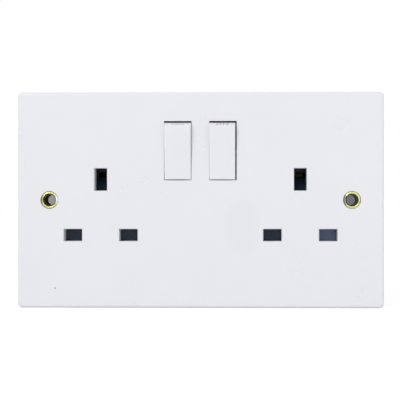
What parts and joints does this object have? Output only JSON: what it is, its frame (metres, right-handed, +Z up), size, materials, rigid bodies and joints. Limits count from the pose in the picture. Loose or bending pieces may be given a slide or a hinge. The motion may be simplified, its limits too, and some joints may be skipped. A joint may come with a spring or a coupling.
{
  "type": "switched wall socket",
  "caption": "Oblong white wall plate with shuttered three-pin outlets, each beside its own rocker switch, and brass-lined fixing holes.",
  "frame": {"origin": "middle of the plane where the plate's rim meets the wall, half way between the fixing holes", "axes": "+X right along the plate seen from the front, +Y into the wall, +Z up"},
  "size_m": [0.146, 0.0349, 0.086],
  "materials": {
    "white_plastic": "polished urea moulding",
    "rocker_plastic": "polished urea moulding",
    "housing_plastic": "dark moulding",
    "cover_plastic": "dark moulding",
    "shutter_plastic": "slate moulding",
    "plunger_plastic": "natural nylon",
    "brass": "stamped strip",
    "eyelet_brass": "rolled, bright",
    "terminal_brass": "machined block",
    "screw_steel": "zinc plated",
    "spring_steel": "drawn wire",
    "contact_silver": "silver pad"
  },
  "bodies": {
    "socket": {"front_plate": "white_plastic", "housing": "housing_plastic", "rear_cover": "cover_plastic", "line_bar": "brass", "neutral_bar": "brass", "earth_bar": "brass", "terminal_screws": "screw_steel", "cover_screws": "screw_steel", "line_terminal": "terminal_brass", "neutral_terminal": "terminal_brass", "earth_terminal_left": "terminal_brass", "earth_terminal_right": "terminal_brass", "eyelet_left": "eyelet_brass", "fixed_tip_left": "contact_silver", "line_lead_left": "brass", "earth_strap_left": "brass", "shutter_spring_left": "spring_steel", "eyelet_right": "eyelet_brass", "fixed_tip_right": "contact_silver", "line_lead_right": "brass", "earth_strap_right": "brass", "shutter_spring_right": "spring_steel"},
    "rocker_left": {"rocker_left": "rocker_plastic", "rocker_spring_left": "spring_steel"},
    "plunger_left": {"plunger_left": "plunger_plastic"},
    "contact_left": {"moving_contact_left": "brass", "moving_tip_left": "contact_silver"},
    "shutter_left": {"shutter_left": "shutter_plastic"},
    "rocker_right": {"rocker_right": "rocker_plastic", "rocker_spring_right": "spring_steel"},
    "plunger_right": {"plunger_right": "plunger_plastic"},
    "contact_right": {"moving_contact_right": "brass", "moving_tip_right": "contact_silver"},
    "shutter_right": {"shutter_right": "shutter_plastic"}
  },
  "joints": [
    {"name": "rocker_left_tilt", "type": "hinge", "parent": "socket", "child": "rocker_left", "pos_m": [-0.009, -0.005, 0.01948], "axis": [1, 0, 0], "range_deg": [-14, 0]},
    {"name": "contact_left_tilt", "type": "hinge", "parent": "socket", "child": "contact_left", "pos_m": [-0.009, 0.0124, 0.01948], "axis": [1, 0, 0], "range_deg": [0, 10]},
    {"name": "plunger_left_slide", "type": "slide", "parent": "rocker_left", "child": "plunger_left", "axis": [0, 0.9925, 0.1219], "range_m": [-0.0008, 0], "stiffness_N_per_m": 400, "springref_m": 0.002, "deforming": ["rocker_spring_left"]},
    {"name": "shutter_left_slide", "type": "slide", "parent": "socket", "child": "shutter_left", "axis": [0, 0, -1], "range_m": [0, 0.0055], "stiffness_N_per_m": 200, "springref_m": -0.006, "deforming": ["shutter_spring_left"]},
    {"name": "rocker_right_tilt", "type": "hinge", "parent": "socket", "child": "rocker_right", "pos_m": [0.009, -0.005, 0.01948], "axis": [1, 0, 0], "range_deg": [-14, 0]},
    {"name": "contact_right_tilt", "type": "hinge", "parent": "socket", "child": "contact_right", "pos_m": [0.009, 0.0124, 0.01948], "axis": [1, 0, 0], "range_deg": [0, 10]},
    {"name": "plunger_right_slide", "type": "slide", "parent": "rocker_right", "child": "plunger_right", "axis": [0, 0.9925, 0.1219], "range_m": [-0.0008, 0], "stiffness_N_per_m": 400, "springref_m": 0.002, "deforming": ["rocker_spring_right"]},
    {"name": "shutter_right_slide", "type": "slide", "parent": "socket", "child": "shutter_right", "axis": [0, 0, -1], "range_m": [0, 0.0055], "stiffness_N_per_m": 200, "springref_m": -0.006, "deforming": ["shutter_spring_right"]}
  ],
  "couplings": [
    {"joint": "contact_left_tilt", "follows": "rocker_left_tilt", "ratio": -0.71429},
    {"joint": "contact_right_tilt", "follows": "rocker_right_tilt", "ratio": -0.71429}
  ]
}
